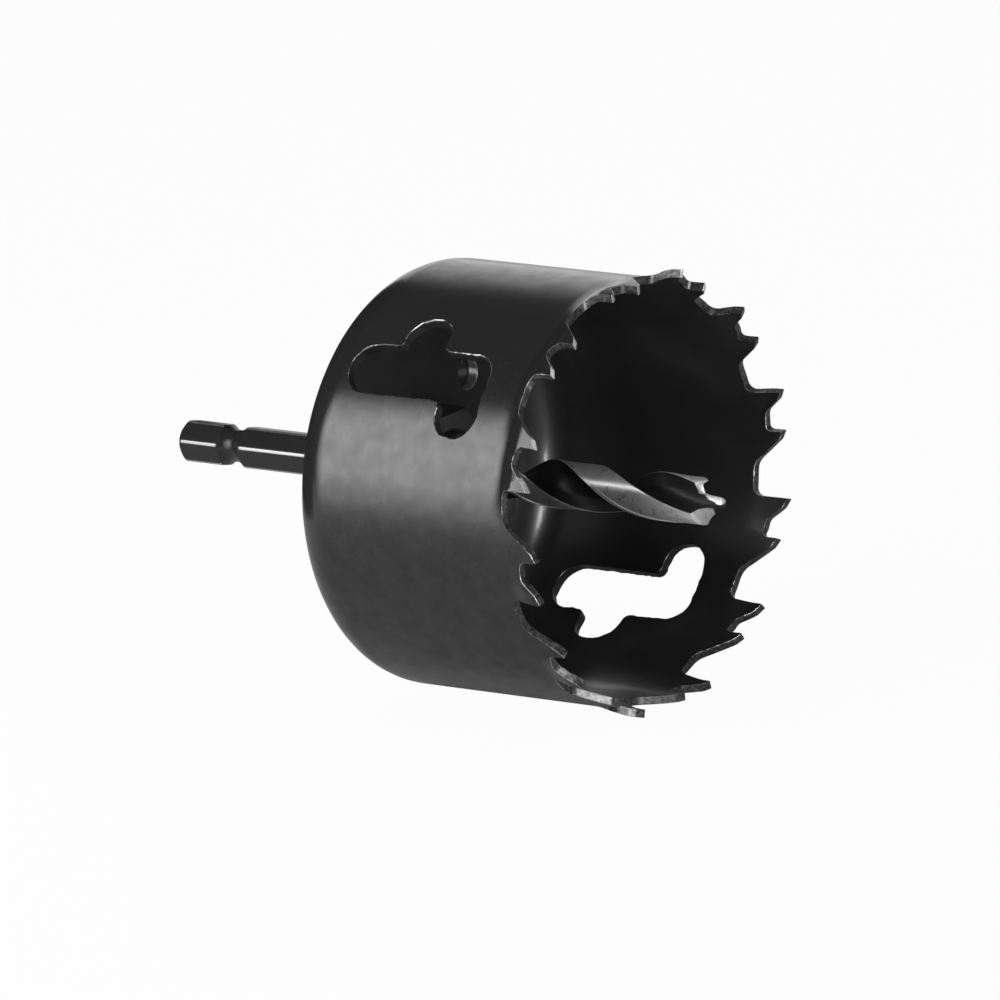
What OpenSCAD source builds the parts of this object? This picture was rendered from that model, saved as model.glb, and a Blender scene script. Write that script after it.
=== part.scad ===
// Hole saw of 68 mm on a quarter inch hexagon arbor, with its brad point pilot drill.
// The tool lies on its side. X runs along the tool axis from the end of the shank
// towards the teeth, and +Z is up. Angles about X are counted from +Y towards +Z.

/* [Cup] */
// Diameter over the body of the cup
cup_d = 66; // [60:1:76]
// Length from the back of the cup to the tips of the set teeth
cup_l = 47.9; // [44:0.1:60]
// Thickness of the drawn steel
wall_t = 1.8; // [1.5:0.1:2.2]
// Outer radius between the base and the wall
corner_r = 7.7; // [5:0.1:10]
// Distance of the two pin holes from the axis
pin_hole_r = 17.7; // [15:0.1:18.5]
// Diameter of the two pin holes
pin_hole_d = 5; // [4:0.1:6]
// Angle of the first pin hole
pin_hole_turn = 41.7; // [0:0.1:90]

/* [Teeth] */
// Number of tooth pairs, each a set tooth and a straight tooth
pair_n = 12; // [8:1:12]
// Angle of the first set tooth
tooth_turn = 15; // [0:0.5:30]
// Outward set of the set tooth at its tip
tooth_set = 0.9; // [0:0.1:1.2]
// How far the straight tooth stands behind the set tooth
straight_drop = 0.2; // [0:0.1:0.5]
// Depth of the deep gullet below the set tips
deep_h = 5.7; // [5:0.1:6.5]
// Depth of the shallow gullet below the set tips
shallow_h = 3.1; // [2.6:0.1:3.6]
// Share of the pitch between the tip of a set tooth and the next straight tip
straight_share = 0.372; // [0.36:0.002:0.4]
// Width of the flat on the tip of a tooth
tip_land = 0.15; // [0.1:0.05:0.4]
// Angle of the upper back of a tooth
relief_deg = 27; // [20:1:32]
// Angle of the lower back of a tooth
back_deg = 49; // [46:1:54]

/* [Slots] */
// Length of a slot along the cup
slot_l = 26; // [22:0.1:27]
// Width of the long stretch of a slot
slot_w = 8.3; // [7:0.1:9]
// Radius of the corners of the long stretch
slot_corner_r = 3.7; // [2:0.1:4.1]
// Distance of the slots from the back of the cup
slot_start = 9.2; // [8.5:0.1:10]
// Half of the difference between the two slots along the cup
slot_skew = 0.8; // [0:0.1:0.8]
// Angle of the first slot
slot_turn = 136.2; // [90:0.1:180]
// Angle from the first slot to the second one
slot_spacing = 175.7; // [170:0.1:190]
// Width of the arm at the open end of a slot
front_arm_w = 7.6; // [6:0.1:8]
// Reach of that arm from the middle of the slot
front_arm_reach = 9.8; // [8:0.1:11]
// Width of the arm at the middle of a slot
mid_arm_w = 7.8; // [6:0.1:8]
// Reach of that arm from the middle of the slot
mid_arm_reach = 10.25; // [8:0.05:11]
// Distance of that arm from the back end of the slot
mid_arm_start = 7.6; // [6:0.1:9]

/* [Arbor] */
// Width across the flats of the shank
hex_af = 6.35; // [6.35:0.05:9.5]
// Share of the hexagon's width over its corners that is left where they are turned down
corner_share = 0.955; // [0.92:0.005:1]
// Angle of one corner of the shank
shank_turn = 47.6; // [0:0.1:60]
// Distance from the end of the shank to the back of the cup
shank_reach = 44; // [40:0.5:60]
// Distance from the end of the shank to the middle of the snap groove
groove_x = 10; // [9:0.1:11]
// Width of the snap groove at its floor
groove_floor_w = 1.2; // [0.8:0.1:2]
// Width of the snap groove at the flats
groove_w = 3.3; // [3:0.1:3.6]
// Diameter of the floor of the snap groove
groove_d = 5; // [4.6:0.1:5.2]
// Diameter of the collar
collar_d = 16; // [15:0.5:17]
// Length of the collar
collar_l = 11; // [10:0.5:14]
// Diameter of the threaded stud
stud_d = 12; // [12:0.5:12.5]
// How far the stud reaches past the base of the cup
stud_reach = 8.4; // [7.5:0.1:12]

/* [Fasteners] */
// Diameter of the backing washer
washer_d = 42; // [42:0.5:44]
// Thickness of the backing washer
washer_t = 2; // [1.5:0.1:2.5]
// Width across the flats of the lock nut
nut_af = 18; // [17.5:0.5:19]
// Thickness of the lock nut
nut_t = 6; // [5:0.1:7]
// Diameter of the grub screw
grub_d = 5; // [4:0.5:5]
// Width across the flats of the socket in the grub screw
grub_socket_af = 2.5; // [2:0.1:2.5]

/* [Pilot drill] */
// Diameter over the lands of the drill
drill_d = 7.5; // [7:0.1:8]
// Diameter of the drill's shank
drill_shank_d = 7; // [6:0.1:7]
// How far the tip stands ahead of the set teeth
drill_ahead = 11.5; // [5:0.1:15]
// Length of one turn of the flutes
flute_lead = 40; // [32:1:48]
// Thickness of the web between the flutes
web_t = 1.8; // [1.4:0.1:2.2]
// Angle that one land covers
land_deg = 88; // [76:1:96]
// Angle of the first land at the tip of the drill
land_turn = 141.3; // [0:0.1:180]
// Length of the brad point
brad_l = 4; // [3:0.1:5]
// Diameter of the brad point at its foot
brad_d = 2.4; // [2:0.1:2.8]
// How far the spurs stand ahead of the cutting edges
spur_h = 0.9; // [0.5:0.1:1.2]

/* [Hidden] */
$fn = 96;
eps = 0.01;
// How far an arc bites past the two straight edges that it rounds, so that they cross cleanly
bite = 0.02;
// Room all round a stud or a shank in its hole
fit_gap = 0.05;

cup_r = cup_d / 2;
back_x = shank_reach;
inner_corner_r = corner_r - wall_t;
pitch_deg = 360 / pair_n;
pitch_l = 2 * PI * cup_r / pair_n;
straight_l = straight_share * pitch_l;
// Crown angles beside a set tip: just ahead of its face, at the straight face, behind the straight tooth
crown_lead_deg = 1;
crown_split_deg = -0.75 * straight_share * pitch_deg;
crown_end_deg = -0.75 * pitch_deg;
// Depth of the punches that cut the wall, with room on both sides
punch_h = tooth_set + wall_t + 3;
deep_z = cup_l - deep_h;
shallow_z = cup_l - shallow_h;
// Height at which the set starts, just above the floor of the shallow gullets
lean_z = shallow_z + 0.4;
hex_r = hex_af / 2 / cos(30);
collar_x = back_x - washer_t - collar_l;
stud_hole_d = stud_d + 2 * fit_gap;
nut_x = back_x + wall_t;
stud_end_x = nut_x + stud_reach;
// Floor of the bore for the drill, past the back of the collar, and the room behind the drill
bore_x = collar_x + 1.5;
drill_x = bore_x + 0.5;
drill_tip_x = back_x + cup_l + drill_ahead;
edge_x = drill_tip_x - brad_l;
spur_x = edge_x + spur_h;
// Back end of the flutes, and the stretch over which they run out there
flute_end_x = stud_end_x + 4;
flute_run_l = 9;
grub_x = collar_x + collar_l / 2;
// Depth of the flat that the grub screw bears on
flat_h = 0.4;
grub_foot_r = drill_shank_d / 2 - flat_h;
grub_sunk = 0.2;
grub_l = collar_d / 2 - grub_foot_r - grub_sunk;

// Lays a shape that was drawn along Z on the tool axis
module along_x(x = 0) {
    translate([x, 0, 0]) rotate([90, 0, 90]) children();
}

// Hexagonal prism, given across its flats
module hex_prism(af, h) {
    cylinder(h = h, r = af / 2 / cos(30), $fn = 6);
}

// Half section of a round box with one rounded corner at its foot
module half_section(r, h, corner) {
    square([r - corner, h]);
    translate([0, corner]) square([r, h - corner]);
    translate([r - corner, corner]) intersection() {
        circle(corner);
        translate([0, -corner]) square(corner);
    }
}

// Drawn cup without its teeth, slots and holes
module cup_blank() {
    rotate_extrude() difference() {
        half_section(cup_r, lean_z, corner_r);
        translate([0, wall_t]) half_section(cup_r - wall_t, cup_l, inner_corner_r);
    }
}

// Crown of the wall for one kind of tooth, which leans outwards by its set.
// It stands between two angles beside the tip of each set tooth.
module crown(lean, top, from_deg, to_deg) {
    gap_deg = pitch_deg - (to_deg - from_deg);
    difference() {
        rotate_extrude() polygon([
            [cup_r - wall_t, lean_z],
            [cup_r, lean_z],
            [cup_r + lean, top],
            [cup_r - wall_t + lean, top]
        ]);
        for (k = [0 : pair_n - 1]) rotate([0, 0, tooth_turn + k * pitch_deg + to_deg])
            rotate_extrude(angle = gap_deg)
                translate([cup_r - wall_t - 1, lean_z - 1]) square([wall_t + lean + 2, shallow_h + 2]);
    }
}

// Outline of a gullet between the face of one tooth, at zero, and the back of the tooth ahead
// of it, which starts at the gullet's length. Arcs round the foot of the face and of the back.
module gullet(length, floor_z, tip_z, face_r, back_r) {
    relief_l = 1.3;
    knee = [length - relief_l, tip_z - relief_l * tan(relief_deg)];
    foot_x = knee[0] - (knee[1] - floor_z) / tan(back_deg);
    tangent_l = back_r * tan(back_deg / 2);
    top = cup_l + 2;
    over = 1;
    polygon([
        [0, top],
        [0, floor_z + face_r],
        [face_r, floor_z],
        [foot_x - tangent_l, floor_z],
        [foot_x + tangent_l * cos(back_deg), floor_z + tangent_l * sin(back_deg)],
        knee,
        [length + over, tip_z + over * tan(relief_deg)],
        [length + over, top]
    ]);
    translate([face_r - bite, floor_z + face_r - bite]) circle(face_r);
    translate([foot_x - tangent_l + bite * tan(back_deg / 2), floor_z + back_r - bite]) circle(back_r);
}

// Cuts an outline through the wall at one angle, with its x along the turn of the tool
module radial_punch(turn) {
    rotate([0, 0, turn]) translate([cup_r - punch_h / 2, 0, 0])
        rotate([90, 0, 90]) linear_extrude(punch_h) children();
}

// Both gullets beside one set tip at angle zero: the shallow one behind it and the deep one ahead
module pair_gullets() {
    deep_l = pitch_l - straight_l;
    deg_per_mm = pitch_deg / pitch_l;
    radial_punch(-straight_l / 2 * deg_per_mm) translate([-straight_l / 2, 0])
        gullet(straight_l - tip_land, shallow_z, cup_l, face_r = 0.8, back_r = 1.6);
    radial_punch(deep_l / 2 * deg_per_mm) translate([-deep_l / 2, 0])
        gullet(deep_l - tip_land, deep_z, cup_l - straight_drop, face_r = 1.3, back_r = 2.6);
}

// Inside corner between two straight edges, rounded
module corner_fillet(r) {
    difference() {
        translate([-eps, -eps]) square(r + eps);
        translate([r, r]) circle(r);
    }
}

// Outline of one slot: a long stretch with an arm at its open end and one near its middle
module slot_outline() {
    half_w = slot_w / 2;
    front_r = front_arm_w / 2;
    mid_r = mid_arm_w / 2;
    fillet_r = 1.3;
    translate([0, -half_w]) rounded_rect(slot_l, slot_w, slot_corner_r);
    translate([slot_l - front_arm_w, 0]) {
        square([front_arm_w, front_arm_reach - front_r]);
        translate([front_r, front_arm_reach - front_r]) circle(front_r);
    }
    translate([slot_l - front_arm_w, half_w]) mirror([1, 0]) corner_fillet(fillet_r);
    translate([mid_arm_start, mid_r - mid_arm_reach]) {
        square([mid_arm_w, mid_arm_reach - mid_r]);
        translate([mid_r, 0]) circle(mid_r);
    }
    translate([mid_arm_start, -half_w]) rotate([0, 0, 180]) corner_fillet(fillet_r);
    translate([mid_arm_start + mid_arm_w, -half_w]) mirror([0, 1]) corner_fillet(fillet_r);
}

module rounded_rect(l, w, r) {
    translate([r, 0]) square([l - 2 * r, w]);
    translate([0, r]) square([l, w - 2 * r]);
    for (x = [r, l - r]) for (y = [r, w - r]) translate([x, y]) circle(r);
}

// Slot outline turned so that its length runs along the cup
module slot_punch(start, turn) {
    radial_punch(turn) translate([0, start]) rotate([0, 0, 90]) mirror([0, 1]) slot_outline();
}

module cup() {
    color("#1b1b1c") along_x(back_x) difference() {
        union() {
            cup_blank();
            crown(tooth_set, cup_l, crown_split_deg, crown_lead_deg);
            crown(0, cup_l - straight_drop, crown_end_deg, crown_split_deg);
        }
        for (k = [0 : pair_n - 1]) rotate([0, 0, tooth_turn + k * pitch_deg]) pair_gullets();
        slot_punch(slot_start - slot_skew, slot_turn);
        slot_punch(slot_start + slot_skew, slot_turn + slot_spacing);
        for (turn = [pin_hole_turn, pin_hole_turn + 180])
            rotate([0, 0, turn]) translate([pin_hole_r, 0, -1]) cylinder(h = wall_t + 2, d = pin_hole_d);
        translate([0, 0, -1]) cylinder(h = wall_t + 2, d = stud_hole_d);
    }
}

module backing_washer() {
    chamfer = 0.3;
    color("#2b2b2d") along_x(back_x - washer_t) rotate_extrude() polygon([
        [stud_hole_d / 2, 0],
        [washer_d / 2 - chamfer, 0],
        [washer_d / 2, chamfer],
        [washer_d / 2, washer_t],
        [stud_hole_d / 2, washer_t]
    ]);
}

// Ring that leaves the snap groove when it is cut from the shank
module groove_ring() {
    slope_h = hex_af / 2 - groove_d / 2;
    spread = (groove_w - groove_floor_w) / 2 / slope_h * (hex_r + 1 - groove_d / 2);
    rotate_extrude() polygon([
        [groove_d / 2, -groove_floor_w / 2],
        [groove_d / 2, groove_floor_w / 2],
        [hex_r + 1, groove_floor_w / 2 + spread],
        [hex_r + 1, -groove_floor_w / 2 - spread]
    ]);
}

module arbor() {
    end_r = hex_af / 2 - 0.5;
    bevel = 1;
    color("#3a3a3c") along_x() difference() {
        union() {
            intersection() {
                rotate([0, 0, shank_turn]) hex_prism(hex_af, collar_x + 1);
                cylinder(h = collar_x + 1, r1 = end_r, r2 = end_r + collar_x + 1);
                cylinder(h = collar_x + 1, r = hex_r * corner_share);
            }
            translate([0, 0, collar_x]) rotate_extrude() polygon([
                [0, 0],
                [collar_d / 2 - bevel, 0],
                [collar_d / 2, bevel],
                [collar_d / 2, collar_l],
                [stud_d / 2, collar_l],
                [stud_d / 2, stud_end_x - collar_x - bevel],
                [stud_d / 2 - bevel, stud_end_x - collar_x],
                [0, stud_end_x - collar_x]
            ]);
        }
        translate([0, 0, groove_x]) groove_ring();
        translate([0, 0, bore_x]) cylinder(h = stud_end_x, d = drill_shank_d + 2 * fit_gap);
        translate([0, 0, grub_x]) rotate([-90, 0, 0]) cylinder(h = collar_d, d = grub_d + 2 * fit_gap);
    }
}

module lock_nut() {
    edge_r = nut_af / 2 / cos(30);
    bevel = 0.6;
    color("#37373a") along_x(nut_x) difference() {
        intersection() {
            hex_prism(nut_af, nut_t);
            rotate_extrude() polygon([
                [0, 0],
                [edge_r - 1.7 * bevel, 0],
                [edge_r, bevel],
                [edge_r, nut_t - bevel],
                [edge_r - 1.7 * bevel, nut_t],
                [0, nut_t]
            ]);
        }
        translate([0, 0, -1]) cylinder(h = nut_t + 2, d = stud_hole_d);
    }
}

module grub_screw() {
    socket_h = 2;
    color("#2f2f31") translate([grub_x, 0, grub_foot_r]) difference() {
        cylinder(h = grub_l, d = grub_d);
        translate([0, 0, grub_l - socket_h]) hex_prism(grub_socket_af, socket_h + 1);
    }
}

// Section across the drill: a round bar with two round flutes
module drill_section() {
    r = drill_d / 2;
    half_deg = (180 - land_deg) / 2;
    lip_x = r * cos(half_deg);
    lip_y = r * sin(half_deg);
    web = web_t / 2;
    flute_c = (pow(lip_x, 2) + pow(lip_y, 2) - pow(web, 2)) / (2 * (lip_x - web));
    difference() {
        circle(r, $fn = 32);
        for (side = [0, 180]) rotate([0, 0, side + 90]) translate([flute_c, 0]) circle(flute_c - web, $fn = 32);
    }
}

// Twisted stretch of the drill, with the lands at a given angle at its front end
module fluted(from_x, to_x) {
    h = to_x - from_x;
    turn = 360 * h / flute_lead;
    translate([0, 0, from_x]) rotate([0, 0, land_turn - turn])
        linear_extrude(h, twist = -turn, slices = ceil(turn / 15)) drill_section();
}

module pilot_drill() {
    r = drill_d / 2;
    brad_r = brad_d / 2;
    color("#9a9a9c") along_x() {
        difference() {
            translate([0, 0, drill_x]) cylinder(h = flute_end_x - drill_x, d = drill_shank_d);
            translate([-drill_d, drill_shank_d / 2 - flat_h, grub_x - 5]) cube([2 * drill_d, drill_d, 10]);
        }
        translate([0, 0, flute_end_x - eps]) cylinder(h = flute_run_l, r1 = r, r2 = web_t / 2);
        intersection() {
            fluted(flute_end_x, drill_tip_x);
            rotate_extrude() polygon([
                [0, flute_end_x - 1],
                [r + 1, flute_end_x - 1],
                [r + 1, spur_x],
                [r, spur_x],
                [r - 1, edge_x],
                [brad_r, edge_x],
                [0, drill_tip_x]
            ]);
        }
    }
}

cup();
backing_washer();
arbor();
lock_nut();
grub_screw();
pilot_drill();
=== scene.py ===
# %% [markdown]
# A hole saw of 68 mm lies on its side: a black cup with bent teeth, a pilot drill in its middle,
# and a quarter inch hexagon shank behind it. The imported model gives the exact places. This lesson
# builds the same pieces again with rounded edges, threads and worn finishes. X runs along the tool
# from the end of the shank to the teeth, and +Z is up. All lengths below are in millimetres, and
# they become metres when a mesh is made.

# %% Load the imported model
from math import atan2, ceil, cos, degrees, exp, log, pi, radians, sin, sqrt, tan

import bmesh
import bpy
from mathutils import Matrix, Vector, geometry, kdtree, noise


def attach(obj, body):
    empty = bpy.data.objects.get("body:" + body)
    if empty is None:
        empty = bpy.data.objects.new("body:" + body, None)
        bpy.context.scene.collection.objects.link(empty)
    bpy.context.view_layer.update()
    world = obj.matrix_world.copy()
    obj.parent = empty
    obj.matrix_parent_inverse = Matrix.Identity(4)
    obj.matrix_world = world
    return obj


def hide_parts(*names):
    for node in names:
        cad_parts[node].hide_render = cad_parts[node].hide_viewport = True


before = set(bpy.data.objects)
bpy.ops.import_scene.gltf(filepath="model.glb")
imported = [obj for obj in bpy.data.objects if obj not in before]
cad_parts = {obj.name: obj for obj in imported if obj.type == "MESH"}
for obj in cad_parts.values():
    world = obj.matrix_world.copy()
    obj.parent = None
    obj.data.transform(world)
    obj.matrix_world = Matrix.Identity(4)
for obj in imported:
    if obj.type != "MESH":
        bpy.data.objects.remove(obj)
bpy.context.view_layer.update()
MM = 0.001

# %% [markdown]
# The camera comes first, because it decides which details matter. Its place was worked out from
# the outline of the cup in the photograph: far away with a long lens, a little above the tool,
# and rolled by four degrees.

# %% Camera
CAMERA_PLACE = Vector((1106.994, -1348.948, 446.542))
CAMERA_RIGHT = Vector((0.79966, 0.59600, -0.07302))
CAMERA_UP = Vector((-0.09620, 0.24720, 0.96418))
CAMERA_BACK = Vector((0.59270, -0.76399, 0.25501))
LENS = 413.373
SENSOR = 36
scene = bpy.context.scene
scene.view_settings.view_transform = "Standard"


def show(name, data):
    """Object that shows a mesh, a lamp or a camera."""
    made = bpy.data.objects.new(name, data)
    scene.collection.objects.link(made)
    return made


def add_camera():
    """Long lens camera at the photograph's place."""
    data = bpy.data.cameras.new("camera")
    data.lens = LENS
    data.sensor_width = SENSOR
    data.clip_start = 50 * MM
    data.clip_end = 50000 * MM
    camera = show("camera", data)
    turn = Matrix((CAMERA_RIGHT, CAMERA_UP, CAMERA_BACK)).transposed()
    camera.matrix_world = Matrix.Translation(CAMERA_PLACE * MM) @ turn.to_4x4()
    scene.camera = camera
    return camera


print("camera at", [round(c, 3) for c in add_camera().location])

# %% [markdown]
# A finish is a small recipe of nodes. To keep the recipes readable, a number that comes out of a
# node is wrapped, so that Python's + - * / build the Math nodes. Colours go through Mix nodes,
# because a Math node would turn them grey.

# %% Numbers of a finish


def sign(operation, reflected=False):
    """Arithmetic of an amount with a number or another amount, as a Math node."""
    def act(own, other):
        first, second = (other, own) if reflected else (own, other)
        return own.recipe.node("Math", {0: first, 1: second}, operation=operation)
    return act


class Amount:
    """Output socket of a node, with arithmetic that adds Math nodes."""

    def __init__(self, recipe, socket):
        self.recipe = recipe
        self.socket = socket

    __add__, __radd__ = sign("ADD"), sign("ADD", reflected=True)
    __sub__, __rsub__ = sign("SUBTRACT"), sign("SUBTRACT", reflected=True)
    __mul__, __rmul__ = sign("MULTIPLY"), sign("MULTIPLY", reflected=True)
    __truediv__, __rtruediv__ = sign("DIVIDE"), sign("DIVIDE", reflected=True)
    __pow__, __rpow__ = sign("POWER"), sign("POWER", reflected=True)
    at_most = sign("MINIMUM")
    at_least = sign("MAXIMUM")


# %% [markdown]
# One method of the recipe adds any node. Nodes that every finish needs get a short name each.

# %% Recipes for finishes


class Recipe:
    """Node tree of one finish."""

    def __init__(self, tree):
        self.tree = tree
        tree.nodes.clear()

    def node(self, kind, puts=None, out=0, **settings):
        """Adds a node: its settings first, then the values or links of its sockets."""
        made = self.tree.nodes.new("ShaderNode" + kind)
        for name, value in settings.items():
            setattr(made, name, value)
        for name, value in (puts or {}).items():
            self.put(made.inputs[name], value)
        return Amount(self, made.outputs[out]) if made.outputs else made

    def put(self, socket, value):
        """Gives a socket a link, a colour or a number."""
        if isinstance(value, Amount):
            self.tree.links.new(value.socket, socket)
        elif isinstance(value, (tuple, list)) and len(value) == 3 and socket.type == "RGBA":
            socket.default_value = (*value, 1)
        else:
            socket.default_value = value

    def grain(self, places, scale, detail=2.0, rough=0.5):
        """Noise at a scale, over given coordinates."""
        puts = {"Vector": places, "Scale": scale, "Detail": detail, "Roughness": rough}
        return self.node("TexNoise", puts)

    def step(self, value, low, high):
        """Rises smoothly from 0 at low to 1 at high."""
        puts = {"Value": value, "From Min": low, "From Max": high}
        return self.node("MapRange", puts, interpolation_type="SMOOTHSTEP")

    def blend(self, share, first, second):
        """Mix of two colours, which have the inputs 6 and 7 and the output 2 of the node."""
        return self.node("Mix", {0: share, 6: first, 7: second}, 2, data_type="RGBA")

    def mask(self, name):
        """Mask that was stored on the mesh."""
        return self.node("Attribute", out="Fac", attribute_name=name)

    def places(self, stretch=(1, 1, 1)):
        """Object coordinates in millimetres, stretched along each axis."""
        where = self.node("TexCoord", out="Object")
        factor = [s / MM for s in stretch]
        return self.node("VectorMath", {0: where, 1: factor}, operation="MULTIPLY")

    def part(self, vector, axis):
        """One coordinate of a vector."""
        return self.node("SeparateXYZ", {0: vector}, out=axis)

    def compare(self, operation, first, second):
        """Number from two vectors, such as their distance."""
        return self.node("VectorMath", {0: first, 1: second}, "Value", operation=operation)


def new_finish(name):
    """Material, and the empty recipe that fills it."""
    material = bpy.data.materials.new(name)
    material.use_nodes = True
    return material, Recipe(material.node_tree)


# %% [markdown]
# A black thing shows only what it mirrors, so the studio is built from what the black coat shows. A
# white wall stands behind the tool, as high as the light along the top edge of the cup goes. The
# other sides and the ceiling are dim. To the camera the whole sky is white, as the background of
# the photograph is.

# %% Sky
MIDDLE = Vector((68, 0, 0))
WHITE = (1.0, 1.0, 1.0)
# Way to the middle of the wall, and where it fades to the sides and upwards
WALL_WAY = (-0.5, 0.866, 0)
WALL_SIDES = (0.55, 0.8)
WALL_TOP = (0.4, 0.62)
# Brightness at the foot of the wall, its loss up to the zenith, and the room's own
WALL_LEVEL, WALL_LOSS, ROOM_LEVEL = 0.9, 0.55, 0.05


def add_sky():
    """White wall behind the tool, dim everywhere else, and white all round for the camera."""
    world = bpy.data.worlds.new("studio")
    world.use_nodes = True
    scene.world = world
    recipe = Recipe(world.node_tree)
    way = recipe.node("TexCoord")
    height = recipe.part(way, "Z")
    level = (1 - height * height).at_least(0.01) ** 0.5
    facing = recipe.step(recipe.compare("DOT_PRODUCT", way, WALL_WAY) / level, *WALL_SIDES)
    low = 1 - recipe.step(height, *WALL_TOP)
    wall = facing * low * (WALL_LEVEL - height.at_least(0) * WALL_LOSS) + ROOM_LEVEL
    seen = recipe.node("LightPath", out="Is Camera Ray")
    grey = recipe.node("CombineXYZ", {0: wall, 1: wall, 2: wall})
    colour = recipe.blend(seen, grey, WHITE)
    light = recipe.node("Background", {"Color": colour, "Strength": 1.0})
    recipe.node("OutputWorld", {"Surface": light})


add_sky()
print("the sky has a white wall and is white to the camera")

# %% [markdown]
# The floor is white paper. The camera sees it as white as the sky, with a faint shadow. In
# reflections it has painted shade round the tool, and painted light far out and in a strip
# right under the cup.
# A black card beside the shank makes the dark band round the back of the cup.

# %% Floor and card
FLOOR_Z = -33.0
CARD_X = -85
# Share of plain white that the camera sees, and of dark paint in reflections, a painted shade
SEEN_WHITE = 0.97
PAINTED_SHADE = 0.32


def matt_paint(recipe, level):
    """Matt surface of a grey level."""
    return recipe.node("BsdfDiffuse", {"Color": (level, level, level)})


def add_floor():
    """Pale floor under the cup, far larger than the camera sees."""
    paper, recipe = new_finish("white_paper")
    camera_ray = recipe.node("LightPath", out="Is Camera Ray")
    glossy_ray = recipe.node("LightPath", out="Is Glossy Ray")
    clear_ray = recipe.node("LightPath", out="Is Transmission Ray")
    places = recipe.places()
    away = recipe.compare("DISTANCE", places, MIDDLE)
    across = recipe.part(places, "Y")
    # Painted light for reflections: a strip under the cup and a glow far out, little near the tool
    strip = 0.2 * (1 - recipe.step(across * across, 25, 60)) * (1 - recipe.step(away, 60, 110))
    painted_light = 0.05 + 0.4 * recipe.step(away, 120, 280) + strip
    share = (camera_ray.at_least(clear_ray) * SEEN_WHITE).at_least(glossy_ray * painted_light)
    white = recipe.node("Emission", {"Color": WHITE, "Strength": 1.0})
    # In reflections the paper is partly dark paint, a painted shade
    sides = {0: glossy_ray * PAINTED_SHADE, 1: matt_paint(recipe, 0.85), 2: matt_paint(recipe, 0.03)}
    shaded = recipe.node("MixShader", sides)
    both = recipe.node("MixShader", {0: share, 1: shaded, 2: white})
    recipe.node("OutputMaterial", {"Surface": both})
    mesh = bpy.data.meshes.new("floor")
    grid = bmesh.new()
    bmesh.ops.create_grid(grid, x_segments=8, y_segments=8, size=6)
    grid.to_mesh(mesh)
    grid.free()
    mesh.materials.append(paper)
    floor = show("floor", mesh)
    floor.location.z = FLOOR_Z * MM


def add_card():
    """Black card beside the shank. Only the reflections see it."""
    paper, recipe = new_finish("black_card")
    recipe.node("OutputMaterial", {"Surface": matt_paint(recipe, 0.04)})
    mesh = bpy.data.meshes.new("black_card")
    corners = [(-95, FLOOR_Z), (118, FLOOR_Z), (118, 170), (-95, 170)]
    mesh.from_pydata([Vector((CARD_X, y, z)) * MM for y, z in corners], [], [(0, 1, 2, 3)])
    mesh.materials.append(paper)
    card = show("black_card", mesh)
    card.visible_camera = False
    card.visible_diffuse = False
    card.visible_shadow = False


add_floor()
add_card()
print("the floor lies at", FLOOR_Z, "mm and the card stands at", CARD_X, "mm")

# %% [markdown]
# The key is a large soft box to the left of the camera, bright in its middle and fading to its
# edges, which makes the broad soft highlight. A narrow strip on the right shows in the round corner
# inside the cup and on the teeth. A wide fill above lights matt surfaces only, and a small spot
# picks out the point of the drill.

# %% Lamps


def area_lamp(name, width, height, radiance):
    """Rectangular lamp. One of radiance L and area A needs L * A * pi watts."""
    data = bpy.data.lights.new(name, "AREA")
    data.shape = "RECTANGLE"
    data.size = width * MM
    data.size_y = height * MM
    data.energy = radiance * data.size * data.size_y * pi
    return data


def fade(data, start, end):
    """Lets the light of a rectangular lamp fade from its middle to its edges."""
    data.use_nodes = True
    recipe = Recipe(data.node_tree)
    spot = recipe.node("NewGeometry", out="Parametric")
    level = 1 - recipe.step(recipe.compare("DISTANCE", spot, (0.5, 0.5, 0)), start, end)
    light = recipe.node("Emission", {"Color": level, "Strength": 1.0})
    recipe.node("OutputLight", {"Surface": light})


def beside(azimuth, distance, height):
    """Place beside the tool. Azimuth 0 is in front of it, and 90 is past its teeth."""
    turn = radians(azimuth)
    return MIDDLE + Vector((sin(turn) * distance, -cos(turn) * distance, height))


def hang(data, place, aim):
    """Hangs a lamp at a place and turns it towards another."""
    lamp = show(data.name, data)
    lamp.location = place * MM
    lamp.rotation_mode = "QUATERNION"
    lamp.rotation_quaternion = (aim - place).to_track_quat("-Z", "Y")
    lamp.visible_camera = False
    return lamp


KEY_Z = 147.5
key = area_lamp("key_box", 420, 415, 4.2)
fade(key, 0.18, 0.52)
hang(key, beside(-30, 330, KEY_Z), beside(0, 0, KEY_Z))
strip = hang(area_lamp("side_strip", 80, 280, 32.0), beside(52, 420, 120), MIDDLE)
strip.visible_diffuse = False
fill = hang(area_lamp("top_fill", 1100, 1100, 1.0), beside(0, 0, 1200), MIDDLE)
fill.visible_glossy = False
spot = bpy.data.lights.new("point_spot", "SPOT")
spot.energy = 10
spot.spot_size = radians(2.0)
spot.spot_blend = 0.7
spot.shadow_soft_size = 8 * MM
hang(spot, Vector((138, -400, 105)), Vector((102, 0, 0)))
print("lamps:", [lamp.name for lamp in bpy.data.lights])

# %% [markdown]
# Every piece is a list of points with their normals, welded where they meet. Giving the normals
# from the formula of the surface keeps the reflections on the cup as calm as on drawn steel,
# whatever triangles lie under them. Two masks ride along: worn marks the edges that rub bare, and
# cut marks the faces that a punch or a grinder left. Inside the cup cut is -1. On the drill's point
# worn carries a painted highlight, and on the brad point both masks carry painted light and shade.

# %% Skins


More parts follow.
